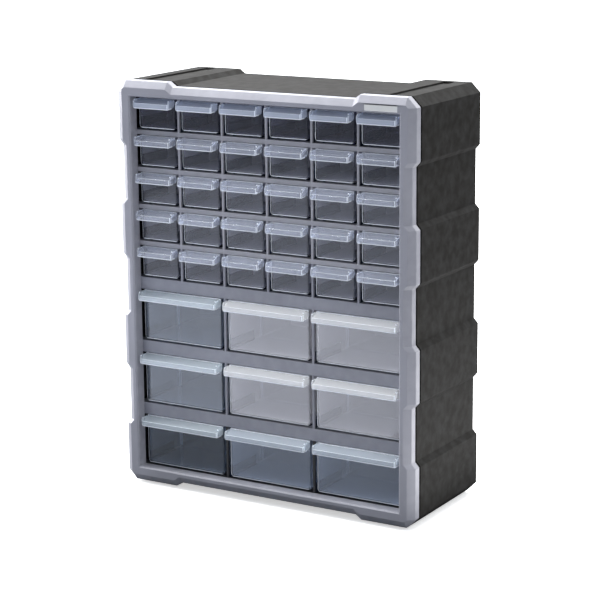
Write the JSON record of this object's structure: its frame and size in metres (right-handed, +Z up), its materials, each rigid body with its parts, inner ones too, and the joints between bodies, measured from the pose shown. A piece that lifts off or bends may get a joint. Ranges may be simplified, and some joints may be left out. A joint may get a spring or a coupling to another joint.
{
  "type": "parts bin cabinet",
  "caption": "Wall or bench cabinet with clear pull-out drawers: rows of small ones above rows of large ones, in a black case with a grey front frame.",
  "frame": {"origin": "middle of the footprint, on the underside of the two stacking ribs the cabinet stands on", "axes": "+Z up, +X to the right seen from the front, the drawer fronts face -Y"},
  "size_m": [0.381, 0.159, 0.4745],
  "materials": {
    "case_black": "fine moulded texture, satin",
    "frame_grey": "smooth satin moulding",
    "shelf_grey": "smooth satin moulding",
    "base_black": "smooth satin moulding",
    "drawer_clear": "clear glossy moulding, faintly blue",
    "plate_white": "satin sticker"
  },
  "bodies": {
    "cabinet": {"case_shell": "case_black", "front_frame": "frame_grey", "name_plate": "plate_white", "base_shelf": "base_black", "small_shelf_1": "shelf_grey", "small_shelf_2": "shelf_grey", "small_shelf_3": "shelf_grey", "small_shelf_4": "shelf_grey", "small_shelf_5": "shelf_grey", "large_shelf_1": "shelf_grey", "large_shelf_2": "shelf_grey"},
    "small_drawer_r1c1": {"small_drawer_r1c1": "drawer_clear"},
    "small_drawer_r1c2": {"small_drawer_r1c2": "drawer_clear"},
    "small_drawer_r1c3": {"small_drawer_r1c3": "drawer_clear"},
    "small_drawer_r1c4": {"small_drawer_r1c4": "drawer_clear"},
    "small_drawer_r1c5": {"small_drawer_r1c5": "drawer_clear"},
    "small_drawer_r1c6": {"small_drawer_r1c6": "drawer_clear"},
    "small_drawer_r2c1": {"small_drawer_r2c1": "drawer_clear"},
    "small_drawer_r2c2": {"small_drawer_r2c2": "drawer_clear"},
    "small_drawer_r2c3": {"small_drawer_r2c3": "drawer_clear"},
    "small_drawer_r2c4": {"small_drawer_r2c4": "drawer_clear"},
    "small_drawer_r2c5": {"small_drawer_r2c5": "drawer_clear"},
    "small_drawer_r2c6": {"small_drawer_r2c6": "drawer_clear"},
    "small_drawer_r3c1": {"small_drawer_r3c1": "drawer_clear"},
    "small_drawer_r3c2": {"small_drawer_r3c2": "drawer_clear"},
    "small_drawer_r3c3": {"small_drawer_r3c3": "drawer_clear"},
    "small_drawer_r3c4": {"small_drawer_r3c4": "drawer_clear"},
    "small_drawer_r3c5": {"small_drawer_r3c5": "drawer_clear"},
    "small_drawer_r3c6": {"small_drawer_r3c6": "drawer_clear"},
    "small_drawer_r4c1": {"small_drawer_r4c1": "drawer_clear"},
    "small_drawer_r4c2": {"small_drawer_r4c2": "drawer_clear"},
    "small_drawer_r4c3": {"small_drawer_r4c3": "drawer_clear"},
    "small_drawer_r4c4": {"small_drawer_r4c4": "drawer_clear"},
    "small_drawer_r4c5": {"small_drawer_r4c5": "drawer_clear"},
    "small_drawer_r4c6": {"small_drawer_r4c6": "drawer_clear"},
    "small_drawer_r5c1": {"small_drawer_r5c1": "drawer_clear"},
    "small_drawer_r5c2": {"small_drawer_r5c2": "drawer_clear"},
    "small_drawer_r5c3": {"small_drawer_r5c3": "drawer_clear"},
    "small_drawer_r5c4": {"small_drawer_r5c4": "drawer_clear"},
    "small_drawer_r5c5": {"small_drawer_r5c5": "drawer_clear"},
    "small_drawer_r5c6": {"small_drawer_r5c6": "drawer_clear"},
    "large_drawer_r1c1": {"large_drawer_r1c1": "drawer_clear"},
    "large_drawer_r1c2": {"large_drawer_r1c2": "drawer_clear"},
    "large_drawer_r1c3": {"large_drawer_r1c3": "drawer_clear"},
    "large_drawer_r2c1": {"large_drawer_r2c1": "drawer_clear"},
    "large_drawer_r2c2": {"large_drawer_r2c2": "drawer_clear"},
    "large_drawer_r2c3": {"large_drawer_r2c3": "drawer_clear"},
    "large_drawer_r3c1": {"large_drawer_r3c1": "drawer_clear"},
    "large_drawer_r3c2": {"large_drawer_r3c2": "drawer_clear"},
    "large_drawer_r3c3": {"large_drawer_r3c3": "drawer_clear"}
  },
  "joints": [
    {"name": "small_drawer_r1c1_slide", "type": "slide", "parent": "cabinet", "child": "small_drawer_r1c1", "axis": [0, -1, 0], "range_m": [0, 0.118]},
    {"name": "small_drawer_r1c2_slide", "type": "slide", "parent": "cabinet", "child": "small_drawer_r1c2", "axis": [0, -1, 0], "range_m": [0, 0.118]},
    {"name": "small_drawer_r1c3_slide", "type": "slide", "parent": "cabinet", "child": "small_drawer_r1c3", "axis": [0, -1, 0], "range_m": [0, 0.118]},
    {"name": "small_drawer_r1c4_slide", "type": "slide", "parent": "cabinet", "child": "small_drawer_r1c4", "axis": [0, -1, 0], "range_m": [0, 0.118]},
    {"name": "small_drawer_r1c5_slide", "type": "slide", "parent": "cabinet", "child": "small_drawer_r1c5", "axis": [0, -1, 0], "range_m": [0, 0.118]},
    {"name": "small_drawer_r1c6_slide", "type": "slide", "parent": "cabinet", "child": "small_drawer_r1c6", "axis": [0, -1, 0], "range_m": [0, 0.118]},
    {"name": "small_drawer_r2c1_slide", "type": "slide", "parent": "cabinet", "child": "small_drawer_r2c1", "axis": [0, -1, 0], "range_m": [0, 0.118]},
    {"name": "small_drawer_r2c2_slide", "type": "slide", "parent": "cabinet", "child": "small_drawer_r2c2", "axis": [0, -1, 0], "range_m": [0, 0.118]},
    {"name": "small_drawer_r2c3_slide", "type": "slide", "parent": "cabinet", "child": "small_drawer_r2c3", "axis": [0, -1, 0], "range_m": [0, 0.118]},
    {"name": "small_drawer_r2c4_slide", "type": "slide", "parent": "cabinet", "child": "small_drawer_r2c4", "axis": [0, -1, 0], "range_m": [0, 0.118]},
    {"name": "small_drawer_r2c5_slide", "type": "slide", "parent": "cabinet", "child": "small_drawer_r2c5", "axis": [0, -1, 0], "range_m": [0, 0.118]},
    {"name": "small_drawer_r2c6_slide", "type": "slide", "parent": "cabinet", "child": "small_drawer_r2c6", "axis": [0, -1, 0], "range_m": [0, 0.118]},
    {"name": "small_drawer_r3c1_slide", "type": "slide", "parent": "cabinet", "child": "small_drawer_r3c1", "axis": [0, -1, 0], "range_m": [0, 0.118]},
    {"name": "small_drawer_r3c2_slide", "type": "slide", "parent": "cabinet", "child": "small_drawer_r3c2", "axis": [0, -1, 0], "range_m": [0, 0.118]},
    {"name": "small_drawer_r3c3_slide", "type": "slide", "parent": "cabinet", "child": "small_drawer_r3c3", "axis": [0, -1, 0], "range_m": [0, 0.118]},
    {"name": "small_drawer_r3c4_slide", "type": "slide", "parent": "cabinet", "child": "small_drawer_r3c4", "axis": [0, -1, 0], "range_m": [0, 0.118]},
    {"name": "small_drawer_r3c5_slide", "type": "slide", "parent": "cabinet", "child": "small_drawer_r3c5", "axis": [0, -1, 0], "range_m": [0, 0.118]},
    {"name": "small_drawer_r3c6_slide", "type": "slide", "parent": "cabinet", "child": "small_drawer_r3c6", "axis": [0, -1, 0], "range_m": [0, 0.118]},
    {"name": "small_drawer_r4c1_slide", "type": "slide", "parent": "cabinet", "child": "small_drawer_r4c1", "axis": [0, -1, 0], "range_m": [0, 0.118]},
    {"name": "small_drawer_r4c2_slide", "type": "slide", "parent": "cabinet", "child": "small_drawer_r4c2", "axis": [0, -1, 0], "range_m": [0, 0.118]},
    {"name": "small_drawer_r4c3_slide", "type": "slide", "parent": "cabinet", "child": "small_drawer_r4c3", "axis": [0, -1, 0], "range_m": [0, 0.118]},
    {"name": "small_drawer_r4c4_slide", "type": "slide", "parent": "cabinet", "child": "small_drawer_r4c4", "axis": [0, -1, 0], "range_m": [0, 0.118]},
    {"name": "small_drawer_r4c5_slide", "type": "slide", "parent": "cabinet", "child": "small_drawer_r4c5", "axis": [0, -1, 0], "range_m": [0, 0.118]},
    {"name": "small_drawer_r4c6_slide", "type": "slide", "parent": "cabinet", "child": "small_drawer_r4c6", "axis": [0, -1, 0], "range_m": [0, 0.118]},
    {"name": "small_drawer_r5c1_slide", "type": "slide", "parent": "cabinet", "child": "small_drawer_r5c1", "axis": [0, -1, 0], "range_m": [0, 0.118]},
    {"name": "small_drawer_r5c2_slide", "type": "slide", "parent": "cabinet", "child": "small_drawer_r5c2", "axis": [0, -1, 0], "range_m": [0, 0.118]},
    {"name": "small_drawer_r5c3_slide", "type": "slide", "parent": "cabinet", "child": "small_drawer_r5c3", "axis": [0, -1, 0], "range_m": [0, 0.118]},
    {"name": "small_drawer_r5c4_slide", "type": "slide", "parent": "cabinet", "child": "small_drawer_r5c4", "axis": [0, -1, 0], "range_m": [0, 0.118]},
    {"name": "small_drawer_r5c5_slide", "type": "slide", "parent": "cabinet", "child": "small_drawer_r5c5", "axis": [0, -1, 0], "range_m": [0, 0.118]},
    {"name": "small_drawer_r5c6_slide", "type": "slide", "parent": "cabinet", "child": "small_drawer_r5c6", "axis": [0, -1, 0], "range_m": [0, 0.118]},
    {"name": "large_drawer_r1c1_slide", "type": "slide", "parent": "cabinet", "child": "large_drawer_r1c1", "axis": [0, -1, 0], "range_m": [0, 0.118]},
    {"name": "large_drawer_r1c2_slide", "type": "slide", "parent": "cabinet", "child": "large_drawer_r1c2", "axis": [0, -1, 0], "range_m": [0, 0.118]},
    {"name": "large_drawer_r1c3_slide", "type": "slide", "parent": "cabinet", "child": "large_drawer_r1c3", "axis": [0, -1, 0], "range_m": [0, 0.118]},
    {"name": "large_drawer_r2c1_slide", "type": "slide", "parent": "cabinet", "child": "large_drawer_r2c1", "axis": [0, -1, 0], "range_m": [0, 0.118]},
    {"name": "large_drawer_r2c2_slide", "type": "slide", "parent": "cabinet", "child": "large_drawer_r2c2", "axis": [0, -1, 0], "range_m": [0, 0.118]},
    {"name": "large_drawer_r2c3_slide", "type": "slide", "parent": "cabinet", "child": "large_drawer_r2c3", "axis": [0, -1, 0], "range_m": [0, 0.118]},
    {"name": "large_drawer_r3c1_slide", "type": "slide", "parent": "cabinet", "child": "large_drawer_r3c1", "axis": [0, -1, 0], "range_m": [0, 0.118]},
    {"name": "large_drawer_r3c2_slide", "type": "slide", "parent": "cabinet", "child": "large_drawer_r3c2", "axis": [0, -1, 0], "range_m": [0, 0.118]},
    {"name": "large_drawer_r3c3_slide", "type": "slide", "parent": "cabinet", "child": "large_drawer_r3c3", "axis": [0, -1, 0], "range_m": [0, 0.118]}
  ]
}
